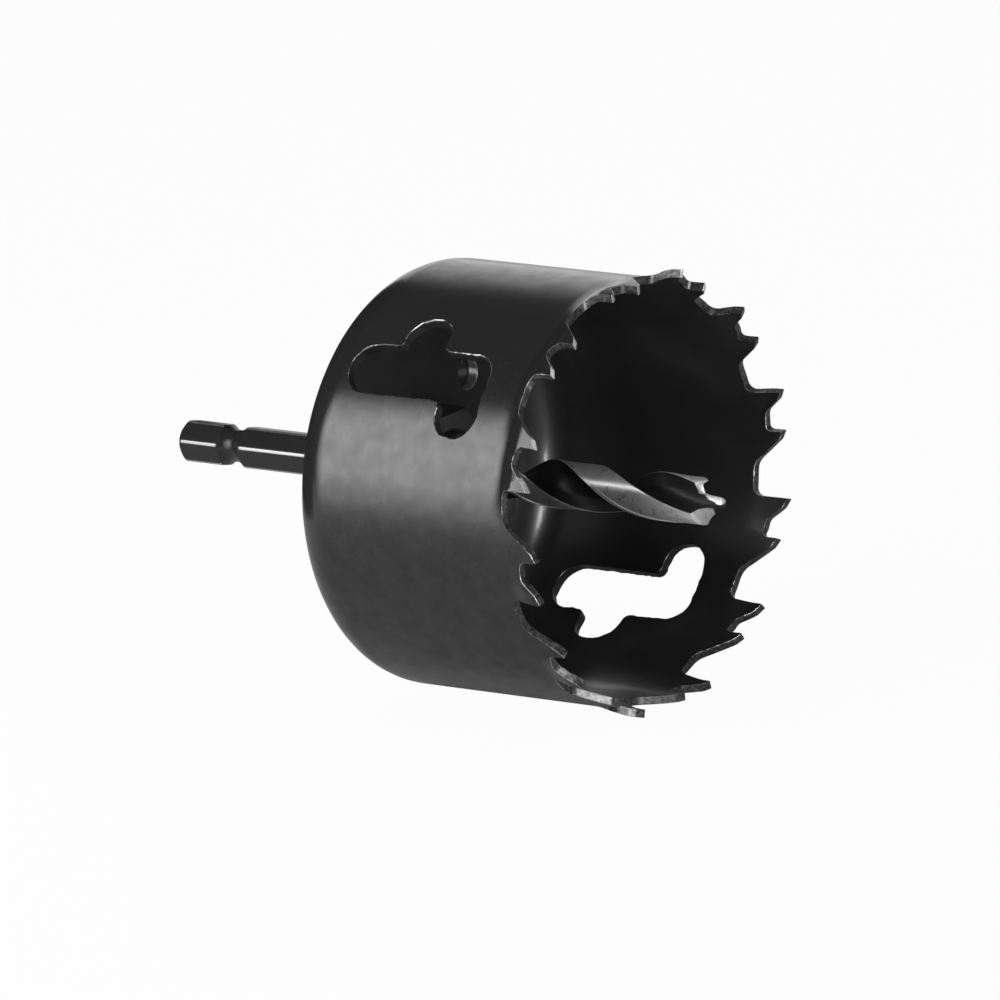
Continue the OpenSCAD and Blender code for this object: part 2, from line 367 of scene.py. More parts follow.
class Skin:
    """Points, normals, masks and faces of one piece."""

    def __init__(self):
        self.places = {}
        self.points = []
        self.normals = []
        self.worn = []
        self.cut = []
        self.faces = []

    def put(self, point, normal=(1, 0, 0), worn=0.0, cut=0.0):
        """Adds a point, or finds it where it was added before."""
        key = tuple(round(c, 3) for c in point)
        if key not in self.places:
            self.places[key] = len(self.points)
            self.points.append(point)
            self.normals.append(Vector(normal).normalized())
            self.worn.append(worn)
            self.cut.append(cut)
        return self.places[key]

    def face(self, *corners):
        """Adds a face, without the corners that fell together."""
        kept = [c for i, c in enumerate(corners) if c != corners[i - 1]]
        if len(kept) > 2:
            self.faces.append(kept)

    def join(self, rings, closed=False):
        """Faces between rings of points, and from the last ring to the first when closed."""
        for low, high in zip(rings, rings[1:] + rings[:1] if closed else rings[1:]):
            for i in range(len(low)):
                j = (i + 1) % len(low)
                self.face(low[i], low[j], high[j], high[i])

    def piece(self, name, smooth_normals=True, sharp_deg=30):
        """Mesh object in metres, with its faces turned outwards."""
        mesh = bpy.data.meshes.new(name)
        mesh.from_pydata([Vector(p) * MM for p in self.points], [], self.faces)
        tidy = bmesh.new()
        tidy.from_mesh(mesh)
        bmesh.ops.recalc_face_normals(tidy, faces=tidy.faces)
        open_edges = sum(1 for e in tidy.edges if len(e.link_faces) != 2)
        tidy.to_mesh(mesh)
        tidy.free()
        for label, values in (("worn", self.worn), ("cut", self.cut)):
            layer = mesh.attributes.new(label, "FLOAT", "POINT")
            layer.data.foreach_set("value", values)
        mesh.shade_smooth()
        if smooth_normals:
            mesh.normals_split_custom_set_from_vertices(self.normals)
        else:
            mesh.set_sharp_from_angle(angle=radians(sharp_deg))
        made = show(name, mesh)
        print(f"{name}: {len(mesh.polygons)} faces, {open_edges} open edges")
        return made


def place_piece(made, material, node):
    """A piece rides with the tool, takes its finish from a slot and stands for its CAD node."""
    made.data.materials.append(material)
    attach(made, "root")
    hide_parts(node)
    print(made.name, "stands for", node)


# %% [markdown]
# The cup is punched and ground from sheet steel, so all its openings are outlines with round
# corners. One helper turns a list of corners into stations along the outline. Each station knows
# which way the opening lies and how wide its edge is rounded. The opening is always on the left.

# %% Outlines


def corner_arc(before, here, after, radius):
    """Start, end, middle, signed radius, way ahead and turn of one round corner."""
    ahead = (here - before).normalized()
    leave = (after - here).normalized()
    turn = atan2(ahead.x * leave.y - ahead.y * leave.x, ahead.dot(leave))
    reach = radius * tan(abs(turn) / 2)
    side = 1 if turn > 0 else -1
    start = here - ahead * reach
    centre = start + Vector((-ahead.y, ahead.x)) * radius * side
    return start, here + leave * reach, (centre, radius * side, ahead, turn)


def rounded(corners, closed, step, arc_deg=15):
    """Stations (p, q, normal p, normal q, edge) along corners given as (p, q, radius, edge)."""
    count = len(corners)
    stations = []
    ends = []
    for i in range(count):
        p, q, radius, edge = corners[i]
        here = Vector((p, q))
        if not closed and i in (0, count - 1):
            ends.append((here, here, None, edge))
            continue
        before = Vector(corners[i - 1][:2])
        after = Vector(corners[(i + 1) % count][:2])
        ends.append((*corner_arc(before, here, after, radius), edge))
    for i in range(count):
        start, finish, arc, edge = ends[i]
        if arc:
            centre, signed, ahead, turn = arc
            parts = max(2, ceil(abs(degrees(turn)) / arc_deg))
            for k in range(parts + 1):
                angle = turn * k / parts
                way = Vector((ahead.x * cos(angle) - ahead.y * sin(angle),
                              ahead.x * sin(angle) + ahead.y * cos(angle)))
                left = Vector((-way.y, way.x))
                spot = centre - left * signed
                stations.append((spot.x, spot.y, left.x, left.y, edge))
        if not closed and i == count - 1:
            way = (finish - ends[i - 1][1]).normalized()
            stations.append((finish.x, finish.y, -way.y, way.x, edge))
            break
        onward, _, _, next_edge = ends[(i + 1) % count]
        length = (onward - finish).length
        way = (onward - finish).normalized()
        parts = max(1, ceil(length / step))
        for k in range(1 if arc else 0, parts):
            spot = finish + way * length * k / parts
            grown = edge + (next_edge - edge) * k / parts
            stations.append((spot.x, spot.y, -way.y, way.x, grown))
    return stations


# %% [markdown]
# Steel sheet has the same thickness everywhere, so a point of the cup is its place on the outer
# face and its depth under it. The wall is unrolled: the first number runs round the cup at its
# outer radius, the second runs from the back towards the teeth. Every second tooth is set, which
# means that it is bent outwards. That makes the cut wider than the sheet, so that the cup runs
# free. On the side that faces the camera the press bent the whole rim out a little more.

# %% Sheet of the cup
CUP_R = 33.0
WALL = 1.8
# Length to the tips of the set teeth, the place of the back, and the radius of its round corner
CUP_L = 47.9
BACK_X = 44.0
CORNER = 7.7
PAIRS = 12
PITCH = 2 * pi * CUP_R / PAIRS
# Way round the cup to the tip of a set tooth, and from a straight tooth to the next set one
SET_ARC = radians(15) * CUP_R
STRAIGHT_L = 0.372 * PITCH
# How far a set tooth is bent, and how far from the back that starts
TOOTH_SET = 0.9
SET_FROM = 40.8
# Bend of the rim as a whole, as angles with millimetres, and how much of it may pass the box
RIM_BENT = [(55, 0.0), (72, 0.7), (92, 0.5), (105, 1.1), (120, 1.25), (135, 1.8), (150, 1.4),
            (167, 1.5), (177, 0.2), (185, 0.0)]
BENT_PAST_BOX = 0.7
# Share of the thickness that the ground rim has lost, and how far a bent rim draws back
RIM_THINNED = 0.28
RIM_DRAWN_BACK = 0.32


def ease(value):
    """Smooth rise from 0 to 1."""
    value = min(1.0, max(0.0, value))
    return value * value * (3 - 2 * value)


def rim_bent(arc):
    """How far the rim as a whole is bent outwards at a place round the cup."""
    turn_deg = degrees(arc / CUP_R) % 360
    for (turn0, bent0), (turn1, bent1) in zip(RIM_BENT, RIM_BENT[1:]):
        if turn0 <= turn_deg <= turn1:
            return bent0 + (bent1 - bent0) * ease((turn_deg - turn0) / (turn1 - turn0))
    return 0.0


def lean(arc, z):
    """Outward bend of the wall. It is less where the tool would outgrow its box."""
    if z <= SET_FROM:
        return 0.0
    turn = arc / CUP_R
    ahead = (arc - SET_ARC + 8) % PITCH - 8
    window = ease((ahead + 6.2) / 1.6) * ease((3.5 - ahead) / 1.5)
    tooth = 0.75 * ease((z - 42.2) / 4.6) + 0.25 * (z - SET_FROM) / (CUP_L - SET_FROM)
    bent = rim_bent(arc)
    room = CUP_R / max(abs(sin(turn)), abs(cos(turn))) - CUP_R
    room += BENT_PAST_BOX * ease(bent)
    return min(bent * ease((z - SET_FROM) / 4.4) + TOOTH_SET * window * tooth, room)


class Wall:
    """Unrolled wall of the cup."""

    @staticmethod
    def place(arc, z, depth):
        turn = arc / CUP_R
        thin = 1 - RIM_THINNED * ease((z - 37) / 7)
        reach = CUP_R - depth * thin + lean(arc, z)
        back = RIM_DRAWN_BACK * rim_bent(arc) * ease((z - SET_FROM) / 5)
        return (BACK_X + z - back, reach * cos(turn), reach * sin(turn))

    @staticmethod
    def ways(arc, z):
        """Unit vectors out of the wall, round the cup and along it."""
        turn = arc / CUP_R
        small = 0.02
        rise = 0.0
        if z > SET_FROM - 0.1:
            rise = (lean(arc, z + small) - lean(arc, z - small)) / (2 * small)
        out = Vector((0, cos(turn), sin(turn)))
        round_way = Vector((0, -sin(turn), cos(turn)))
        along = (Vector((1, 0, 0)) + out * rise).normalized()
        return (out - Vector((1, 0, 0)) * rise).normalized(), round_way, along


class Base:
    """Flat base of the cup. Its two numbers are Y and Z."""

    @staticmethod
    def place(y, z, depth):
        return (BACK_X + depth, y, z)

    @staticmethod
    def ways(y, z):
        return Vector((-1, 0, 0)), Vector((0, 1, 0)), Vector((0, 0, 1))


# %% [markdown]
# An opening leaves a cut face through the sheet, with a small round on either side. Between the
# openings the faces of the sheet are filled with triangles.

# %% Cut edges and faces
# Bend of each row of points on a small round, and how bare it rubs there
ROUND = [radians(90 * k / 4) for k in range(5)]
ROUND_WORN = (0.45, 0.9, 1.0, 0.8, 0.35)
# Wear of a punched hole's outer and inner edge beside the rim's
HOLE_OUTSIDE = 0.74
HOLE_INSIDE = 0.2
# Wear that makes a face bright all over
ALL_BARE = 1.2


def inset(station):
    """Where the flat face of the sheet ends beside an outline."""
    p, q, normal_p, normal_q, edge = station
    return (p - normal_p * edge, q - normal_q * edge)


def bareness(station, closed, cut):
    """Wear of a whole cut face: on drilled holes, and on the rim behind the tips of the teeth."""
    p, q, _, normal_q, _ = station
    if closed:
        return ALL_BARE if cut == 1.0 else 0.0
    bare = ease((q - CUP_L + 1.7) / 0.5) * ease((normal_q - 0.4) / 0.3)
    return bare * (0.3 + 1.1 * ease(rim_bent(p) / 0.3))


def cut_edge(skin, sheet, stations, closed, cut):
    """Edge of the sheet along an outline: two small rounds with the cut face between them."""
    columns = []
    for station in stations:
        p, q, normal_p, normal_q, edge = station
        out, way_p, way_q = sheet.ways(p, q)
        side = way_p * normal_p + way_q * normal_q
        bare = bareness(station, closed, cut)
        column = []
        for inner in (False, True):
            rows = list(zip(ROUND, ROUND_WORN))
            for bend, worn in reversed(rows) if inner else rows:
                back = edge * (1 - sin(bend))
                depth = edge * (1 - cos(bend))
                face_out = -out if inner else out
                if inner:
                    depth = WALL - depth
                spot = sheet.place(p - normal_p * back, q - normal_q * back, depth)
                normal = face_out * cos(bend) + side * sin(bend)
                if closed:
                    worn *= HOLE_INSIDE if inner else HOLE_OUTSIDE
                share = cut * ease(degrees(bend) / 90)
                column.append(skin.put(spot, normal, worn + bare, share))
            if not inner:
                for share in (0.33, 0.67):
                    depth = edge + (WALL - 2 * edge) * share
                    column.append(skin.put(sheet.place(p, q, depth), side, 0.15 + bare, cut))
        columns.append(column)
    pairs = zip(columns, columns[1:] + columns[:1] if closed else columns[1:])
    for left, right in pairs:
        for k in range(len(left) - 1):
            skin.face(left[k], right[k], right[k + 1], left[k + 1])


def face_point(skin, spot, out, inner):
    """Point on the outer or the inner face of the sheet."""
    return skin.put(spot, -out if inner else out, cut=-1.0 if inner else 0.0)


def cover(skin, sheet, depth, border, holes, grid):
    """Triangles over one face of the sheet, inside a border, round holes, through grid points."""
    flat = []
    edges = []
    for loop in (border, *holes):
        first = len(flat)
        flat += loop
        edges += [(first + i, first + (i + 1) % len(loop)) for i in range(len(loop))]
    near = kdtree.KDTree(len(flat))
    for i, (p, q) in enumerate(flat):
        near.insert((p, q, 0), i)
    near.balance()
    flat += [spot for spot in grid if near.find((spot[0], spot[1], 0))[2] > 0.3]
    result = geometry.delaunay_2d_cdt([Vector(spot) for spot in flat], edges, [], 1, 1e-6)
    triangles, origins = result[2:4]
    corner = [flat[where[0]] for where in origins]
    index = [face_point(skin, sheet.place(p, q, depth), sheet.ways(p, q)[0], depth > 0)
             for p, q in corner]
    for triangle in triangles:
        middle = [sum(corner[k][axis] for k in triangle) / 3 for axis in (0, 1)]
        if not any(inside(middle, hole) for hole in holes):
            skin.face(*[index[k] for k in triangle])


def inside(spot, loop):
    """Whether a spot lies inside a closed loop."""
    p, q = spot
    if not min(s[0] for s in loop) < p < max(s[0] for s in loop):
        return False
    odd = False
    for (p0, q0), (p1, q1) in zip(loop, loop[1:] + loop[:1]):
        if (q0 > q) != (q1 > q) and p < p0 + (q - q0) / (q1 - q0) * (p1 - p0):
            odd = not odd
    return odd


# %% [markdown]
# The rim repeats twelve times: a deep gullet, a straight tooth, a shallow gullet and a set tooth.
# A tooth has a steep face, a narrow flat at its tip, a relief behind the tip and a steeper back
# that runs down into the next gullet. The gullets carry the chips away, and their round floors
# keep the steel from cracking.

# %% Rim
DEEP_Z = CUP_L - 5.7
SHALLOW_Z = CUP_L - 3.1
STRAIGHT_Z = CUP_L - 0.2
# Width of the flat at a tip, length of the relief behind it, and slopes of relief and back
TIP_FLAT = 0.15
RELIEF_L = 1.3
RELIEF = radians(27)
BACK = radians(49)
# Rounding of the edges in a gullet, at the end of the relief and at a tip
GULLET_EDGE = 0.14
KNEE_EDGE = 0.1
TIP_EDGE = 0.03
# Radius of a tip, and of the foot of a tooth's face in a deep gullet
TIP_R = 0.05
DEEP_FACE_R = 1.3
# The rim is closed in the floor of a deep gullet, this far past a set tooth
SEAM = 2.6


def gullet(face_p, length, floor_z, tip_z, face_r, back_r):
    """Corners of a gullet, from the foot of one face to the tip that lies ahead of it."""
    knee_p = length - RELIEF_L
    knee_z = tip_z - RELIEF_L * tan(RELIEF)
    foot_p = knee_p - (knee_z - floor_z) / tan(BACK)
    return [
        (face_p, floor_z, face_r, GULLET_EDGE),
        (face_p + foot_p, floor_z, back_r, GULLET_EDGE),
        (face_p + knee_p, knee_z, 1.0, KNEE_EDGE),
        (face_p + length, tip_z, TIP_R, TIP_EDGE),
    ]


def rim_corners():
    """Corners of the whole rim, from the floor of one deep gullet round to the same place."""
    deep_l = PITCH - STRAIGHT_L
    deep = gullet(0, deep_l - TIP_FLAT, DEEP_Z, STRAIGHT_Z, DEEP_FACE_R, 2.6)
    shallow = gullet(deep_l, STRAIGHT_L - TIP_FLAT, SHALLOW_Z, CUP_L, 0.8, 1.6)
    one_pair = [*deep, (deep_l, STRAIGHT_Z, TIP_R, TIP_EDGE)]
    one_pair += [*shallow, (PITCH, CUP_L, TIP_R, TIP_EDGE)]
    start = SET_ARC - PITCH
    corners = [(start + SEAM, DEEP_Z, 0, GULLET_EDGE)]
    for k in range(PAIRS):
        first = 1 if k == 0 else 0
        corners += [(start + k * PITCH + p, z, r, edge) for p, z, r, edge in one_pair[first:]]
    last = start + PAIRS * PITCH
    corners += [(last, DEEP_Z, DEEP_FACE_R, GULLET_EDGE), (last + SEAM, DEEP_Z, 0, GULLET_EDGE)]
    return corners


rim = rounded(rim_corners(), closed=False, step=0.7)
print("stations on the rim:", len(rim))

# %% [markdown]
# Through the two slots the plug of wood is levered out of the cup. They are punched, so their
# outlines wander a little. The base has a hole for the stud and two pin holes, which are drilled.

# %% Slots and holes
# Corners of a slot: places along and round the cup, and radii
SLOT_SHAPE = [
    (0, -4.15, 3.7), (7.6, -4.15, 1.3), (7.6, -10.25, 3.9), (15.4, -10.25, 3.89),
    (15.4, -4.15, 1.3), (26, -4.15, 3.7), (26, 9.8, 3.8), (18.4, 9.8, 3.79),
    (18.4, 4.15, 1.3), (0, 4.15, 3.7),
]
SLOT_EDGE = 0.22
SLOT_ROUGH = 0.22
# Angle of a slot's middle, and how far from the back it starts
SLOTS_AT = ((136.2, 8.4), (311.9, 10.0))
PINS_AT = (41.7, 221.7)
PIN_RING_R = 17.7
PIN_R = 2.5
BORE_R = 6.05
DRILLED_EDGE = 0.15


def slot_corners(turn_deg, start_z):
    middle = radians(turn_deg) * CUP_R
    return [(middle + across, start_z + along, radius, SLOT_EDGE)
            for along, across, radius in reversed(SLOT_SHAPE)]


def rough_cut(stations, amount):
    """Stations moved a little to and fro, as a worn punch leaves them."""
    moved = []
    for p, q, normal_p, normal_q, edge in stations:
        off = amount * noise.noise(Vector((p * 0.8, q * 0.8, 3.1)))
        off += 0.5 * amount * noise.noise(Vector((p * 2.3, q * 2.3, 7.7)))
        moved.append((p + normal_p * off, q + normal_q * off, normal_p, normal_q, edge))
    return moved


def round_hole(p, q, radius, parts):
    """Stations round a drilled hole."""
    stations = []
    for k in range(parts):
        way_p = cos(2 * pi * k / parts)
        way_q = sin(2 * pi * k / parts)
        stations.append((p + radius * way_p, q + radius * way_q, -way_p, -way_q, DRILLED_EDGE))
    return stations


slots = [rough_cut(rounded(slot_corners(turn, start), closed=True, step=0.6), SLOT_ROUGH)
         for turn, start in SLOTS_AT]
pins = [round_hole(PIN_RING_R * cos(t), PIN_RING_R * sin(t), PIN_R, 36)
        for t in (radians(turn) for turn in PINS_AT)]
middle_hole = round_hole(0, 0, BORE_R, 64)
print("stations on a slot:", len(slots[0]))

# %% [markdown]
# The two faces of the wall are covered with triangles between the outlines, the corner towards the
# base is turned, and the base is flat. Everything meets in the same points, so the cup becomes one
# closed skin.

# %% Cup
COLUMNS = 240
COLUMN_L = 2 * pi * CUP_R / COLUMNS
ROW_L = 1.6
# The net is finer where the teeth bend
FINE_L = 0.55
FINE_ROWS = [DEEP_Z - 0.4 + 0.6 * k for k in range(10)]
# Share by which the cut face of a slot and of the bore counts as ground
PUNCHED = 0.35


def wall_net(arcs):
    """Border of the unrolled wall, and the points between its outlines."""
    side = [z for z in (CORNER + ROW_L * (k + 1) for k in range(21)) if z < DEEP_Z - 0.5]
    flat = [inset(s) for s in rim]
    flat[0] = (arcs[0], flat[0][1])
    flat[-1] = (arcs[-1], flat[-1][1])
    border = [(a, CORNER) for a in arcs] + [(arcs[-1], z) for z in side]
    border += flat[::-1] + [(arcs[0], z) for z in side[::-1]]
    grid = [(a, z) for a in arcs[1:-1] for z in side]
    grid += [(arcs[0] + FINE_L * (i + 0.5 * (j % 2)), z)
             for i in range(1, int(2 * pi * CUP_R / FINE_L)) for j, z in enumerate(FINE_ROWS)]
    return border, grid


def turned_corner(skin, turns, disc_r, depth):
    """Round corner between the base and the wall."""
    rings = []
    for k in range(11):
        bend = radians(90 * k / 10)
        reach = disc_r + (CORNER - depth) * sin(bend)
        x = BACK_X + CORNER - (CORNER - depth) * cos(bend)
        ring = []
        for t in turns:
            out = Vector((-cos(bend), sin(bend) * cos(t), sin(bend) * sin(t)))
            spot = (x, reach * cos(t), reach * sin(t))
            ring.append(face_point(skin, spot, out, depth > 0))
        rings.append(ring)
    skin.join(rings)


def build_cup():
    skin = Skin()
    seam = SET_ARC - PITCH + SEAM
    arcs = [seam + i * COLUMN_L for i in range(COLUMNS + 1)]
    border, grid = wall_net(arcs)
    slot_loops = [[inset(s) for s in slot] for slot in slots]
    base_loops = [[inset(s) for s in hole] for hole in (*pins, middle_hole)]
    disc_r = CUP_R - CORNER
    turns = [a / CUP_R for a in arcs[:-1]]
    disc = [(disc_r * cos(t), disc_r * sin(t)) for t in turns]
    for depth in (0.0, WALL):
        cover(skin, Wall, depth, border, slot_loops, grid)
        cover(skin, Base, depth, disc, base_loops, [])
        turned_corner(skin, turns, disc_r, depth)
    cut_edge(skin, Wall, rim, False, 1.0)
    for slot in slots:
        cut_edge(skin, Wall, slot, True, PUNCHED)
    for pin in pins:
        cut_edge(skin, Base, pin, True, 1.0)
    cut_edge(skin, Base, middle_hole, True, PUNCHED)
    return skin.piece("cup_skin")


cup = build_cup()

# %% [markdown]
# The pilot drill is a round bar with two flutes. Every ring of points has the same section, turned
# a little further, so the flutes wind round the bar. Towards the point the turn slows down and the
# lands between the flutes grow wider. Ahead of the arbor's collar the shank has a flat, on which
# the grub screw bears.

# %% Section of the drill
DRILL_R = 3.75
DRILL_SHANK_R = 3.5
DRILL_BACK_X = 33.0
# Where the flutes begin, and the end of the brad point
FLUTE_X = 58.2
DRILL_TIP_X = 103.4
# Distance of the flat from the axis, and its end
FLAT_R = 3.1
FLAT_END_X = 41.6
# Half of the web between the flutes, half of a land in degrees, and the middle of a flute's arc
WEB_R = 0.9
HALF_LAND = 44.0
LAND_REACH = DRILL_R * cos(radians(90 - HALF_LAND))
FLUTE_C = (DRILL_R ** 2 - WEB_R ** 2) / (2 * (LAND_REACH - WEB_R))


def land_turn(x):
    """Angle of the first land's middle along the drill."""
    ahead = max(x, FLUTE_X - 2) - 82
    return 133.8 + 9.0 * ahead - 0.14 * max(0.0, ahead) ** 2


def spread(angle, x):
    """Angle of a column at a place along the drill, where the lands widen towards the point."""
    half = 37 + 12 * min(1.0, max(0.0, (x - 68) / 31)) ** 2
    centre = 180 * round(angle / 180)
    local = angle - centre
    if abs(local) <= HALF_LAND:
        return centre + local * half / HALF_LAND
    side = 1 if local > 0 else -1
    return centre + side * (90 - (90 - abs(local)) * (90 - half) / (90 - HALF_LAND))


def drill_columns():
    """Angles of the columns of points, in degrees from the middle of the first land."""
    land = [-44, -43.4, -42, -38, -33, -28, -22, -16, -10, -4, 2, 8, 14, 18, 21.6, 25, 29, 32.4,
            33.4, 37, 40, 42, 43.4, 44]
    flute = [44.05, 44.25, 46, *[44 + 92 * k / 22 for k in range(1, 22)], 134, 135.75, 135.95]
    return [a + half for half in (0, 180) for a in land + flute]


def from_land(angle):
    """Angle from the middle of the nearer land."""
    return (angle + 90) % 180 - 90


def section_r(angle):
    """Radius of the fluted section at an angle from the middle of the first land."""
    local = from_land(angle)
    if abs(local) <= HALF_LAND + 0.1:
        body = DRILL_R - 0.12 * (1 - ease((local - 32.4) / 1.0))
        return body - 0.1 * ease((abs(local) - 43.2) / 0.9)
    across = radians(90 - abs(local))
    rise = FLUTE_C * cos(across)
    flute_r = FLUTE_C - WEB_R
    drop = sqrt(max(0.0, flute_r ** 2 - FLUTE_C ** 2 * sin(across) ** 2))
    return min(DRILL_R - 0.1, rise - drop)


def column_turn(x, angle):
    """Turn of a column at a place along the drill, in radians."""
    return radians(land_turn(x) + spread(angle, x))


def bar_r(x, angle):
    """Radius of the bar: its bevelled end, the flat, the round shank and then the flutes."""
    r = DRILL_SHANK_R + (section_r(angle) - DRILL_SHANK_R) * ease((x - FLUTE_X + 0.5) / 7)
    if x < FLAT_END_X:
        r = min(r, FLAT_R / max(0.2, sin(column_turn(x, angle))))
    return r - 0.4 if x == DRILL_BACK_X else r


def land_ground(angle):
    """1 on the lands, 0 in the flutes, which stay black."""
    return 1.0 if abs(from_land(angle)) <= HALF_LAND + 0.01 else 0.0


print("middle of a flute's arc in mm:", round(FLUTE_C, 3))

# %% [markdown]
# The last rings lie on the ground end: two cutting lips with clearance behind them, a spur at the
# outer end of each, and the brad point that holds the drill on its mark. The two halves aren't
# alike, because the drill was sharpened by hand: the first land has a plain lip and has lost a
# corner, and the second has a facet before its spur.

# %% Ground end of the drill
# Outline of the brad point: distances from the axis, and from its tip
BRAD = [(0, 0.05), (0.4, 0.1), (0.65, 0.25), (0.8, 0.5), (0.88, 0.9), (0.93, 1.6), (1.0, 2.6),
        (1.15, 3.5), (1.35, 4.1), (1.7, 4.5)]


def brad_x(r):
    """End of the brad point, or a place far behind it where the point is no longer seen."""
    for (r0, down0), (r1, down1) in zip(BRAD, BRAD[1:]):
        if r <= r1:
            return DRILL_TIP_X - down0 - (down1 - down0) * (r - r0) / (r1 - r0)
    return DRILL_TIP_X - 9.0


def first_half(angle):
    """Whether an angle belongs to the first land's half of the end."""
    return not 45 < angle % 360 < 225


def end_x(r, angle):
    """Place of the ground end, at a distance from the axis and an angle."""
    behind = min(98.0, max(0.0, HALF_LAND - from_land(angle)) * 49 / HALF_LAND)
    if first_half(angle):
        chipped = 1.2 * ease((r - 2.5) / 1.1) * (1 - ease(behind / 38))
        return max(brad_x(r), 100.5 - 0.2 * r * radians(behind) - chipped)
    front = 98.75 + 0.45 * ease((r - 1.3) / 2.4)
    ridge = 99.9 - 0.2 * ease((r - 1.3) / 0.9) + 1.3 * ease((r - 2.6) / 1.1)
    end = front + (ridge - front) * min(1.0, behind / 25) - 0.11 * max(0.0, behind - 25)
    return max(brad_x(r), end)


def end_masks(r, angle):
    """How far the end is ground, and its painted highlight and painted shade."""
    # Brad point: painted light, bright steel on its upper side, and painted shade, black below
    if brad_x(r) > end_x(1.6, angle) + 0.3:
        turn = (land_turn(brad_x(r)) + spread(angle, 99)) % 360
        lit = ease((turn - 20) / 8) * (1 - ease((turn - 131.6 - 12 * (brad_x(r) - 98.9)) / 8))
        return lit, lit
    on_land = land_ground(angle)
    local = from_land(angle)
    if first_half(angle):
        # Painted highlight on the outer corner of the first land's end
        return on_land, on_land * ease((r - 2.9) / 0.4) * (1 - ease((local + 12) / 10))
    # Painted highlight on the crescent before the second spur
    painted_highlight = on_land * ease((local - 16) / 4)
    return painted_highlight, painted_highlight


# %% [markdown]
# The rings of the bar and of its end are joined one after the other. Those of the end draw
# together, from the edge of the section to the brad point.

# %% Pilot drill
END_RINGS = 26
STATION_L = 0.35
LAST_BAR_X = 96.9


def drill_point(skin, x, r, angle, cut, worn=0.0):
    """Point in a column of the drill, at a distance from the axis."""
    turn = column_turn(x, angle)
    return skin.put((x, r * cos(turn), r * sin(turn)), worn=worn, cut=cut)


def build_drill():
    skin = Skin()
    angles = drill_columns()
    stations = [DRILL_BACK_X, 33.4, 36, 40, 44, 48, 52, 56, FLUTE_X - 1]
    stations += [FLUTE_X + STATION_L * k for k in range(int((LAST_BAR_X - FLUTE_X) / STATION_L) + 1)]
    rings = [[drill_point(skin, x, bar_r(x, a), a, land_ground(a) if x > FLUTE_X else 1.0)
              for a in angles] for x in stations]
    shares = [(1.0, 0.25), (1.0, 0.5), (1.0, 0.75)]
    shares += [(1 - k / END_RINGS, 1.0) for k in range(END_RINGS)]
    for share, rise in shares:
        ring = []
        for a in angles:
            r = section_r(a) * share
            x = stations[-1] + (end_x(r, a) - stations[-1]) * rise
            cut, worn = end_masks(r, a)
            if share == 1.0:
                # Painted highlight along one side of the first land, rising towards the point
                cut = land_ground(a)
                worn = 0.6 * rise if -40 < a < 0 else 0.0
            ring.append(drill_point(skin, x, r, a, cut, worn))
        rings.append(ring)
    skin.join(rings)
    foot = skin.put((DRILL_BACK_X, 0, 0))
    tip = skin.put((DRILL_TIP_X - 0.05, 0, 0))
    for i in range(len(angles)):
        j = (i + 1) % len(angles)
        skin.face(foot, rings[0][j], rings[0][i])
        skin.face(tip, rings[-1][i], rings[-1][j])
    return skin.piece("pilot_drill_bit", smooth_normals=False, sharp_deg=38)


drill = build_drill()

# %% [markdown]
# The arbor, the nut and the washer are turned, so each is a path that runs round the axis. A
# hexagon comes from the same path: its radius is never larger than the distance to the flat in
# that direction. The corners of the shank were turned down a little, which leaves a narrow bright
# strip along each.

# %% Turned pieces


def near_least(values, blur):
    """Least of some numbers, with a soft change from one to the next."""
    low = min(values)
    return low - blur * log(sum(exp((low - v) / blur) for v in values))


def flat_r(af, turn_deg, corner_deg):
    """Distance from the axis to a hexagon's side, in one direction."""
    local = (turn_deg - corner_deg) % 60 - 30
    return af / 2 / cos(radians(local))


def turned(name, path, columns, closed, shape=None, bare=None):
    """Piece turned from a path of (x, r). shape changes a radius by angle, bare marks wear."""
    skin = Skin()
    rings = []
    for x, r in path:
        if r == 0:
            rings.append([skin.put((x, 0, 0))] * columns)
            continue
        ring = []
        for i in range(columns):
            turn_deg = 360 * i / columns
            reach = shape(x, r, turn_deg) if shape else r
            turn = radians(turn_deg)
            worn = bare(x, r, turn_deg) if bare else 0.0
            ring.append(skin.put((x, reach * cos(turn), reach * sin(turn)), worn=worn))
        rings.append(ring)
    skin.join(rings, closed)
    return skin.piece(name, smooth_normals=False)


# %% [markdown]
# The arbor runs from the end of the shank through the snap groove and the collar to the threaded
# stud. A snap holder's balls fall into the groove. The thread is a real helix: the radius of the
# stud depends on the place along it and on the angle together. The hole for the grub screw is cut
# across the collar afterwards, as on a drilling machine.

# %% Arbor
HEX_AF = 6.35
HEX_TURN = 47.6
SHANK_R = 3.5
GROOVE_X = 10
SHOULDER_X = 31.0
COLLAR_END_X = 42.0
COLLAR_R = 8.0
STUD_END_X = 54.2
STUD_R = 6.0
THREAD_PITCH = 1.5
THREAD_H = 0.8
DRILL_HOLE_X = 32.5
DRILL_HOLE_R = 3.55
GRUB_X = 36.5
GRUB_HOLE_R = 2.55


def shank_r(x):
    """Radius of the shank before its flats: the end bevel, the turned corners and the groove."""
    groove = 2.5 + (x - GROOVE_X) ** 2 / 5.6
    return near_least([2.675 + x, SHANK_R, groove], 0.05)


def thread_r(x, turn_deg):
    """Radius of the stud with its thread, fading into its bevelled end."""
    along = (x / THREAD_PITCH - turn_deg / 360) % 1
    wave = abs(2 * along - 1)
    crest = STUD_R - THREAD_H * (1 - ease((wave - 0.1) / 0.75))
    return near_least([crest, 5.0 + (STUD_END_X - x)], 0.04)


def arbor_shape(x, r, turn_deg):
    """The path's two whole radii stand for the shank and for the stud."""
    if r == SHANK_R:
        return near_least([shank_r(x), flat_r(HEX_AF, turn_deg, HEX_TURN)], 0.02)
    if r == STUD_R:
        return thread_r(x, turn_deg)
    return r


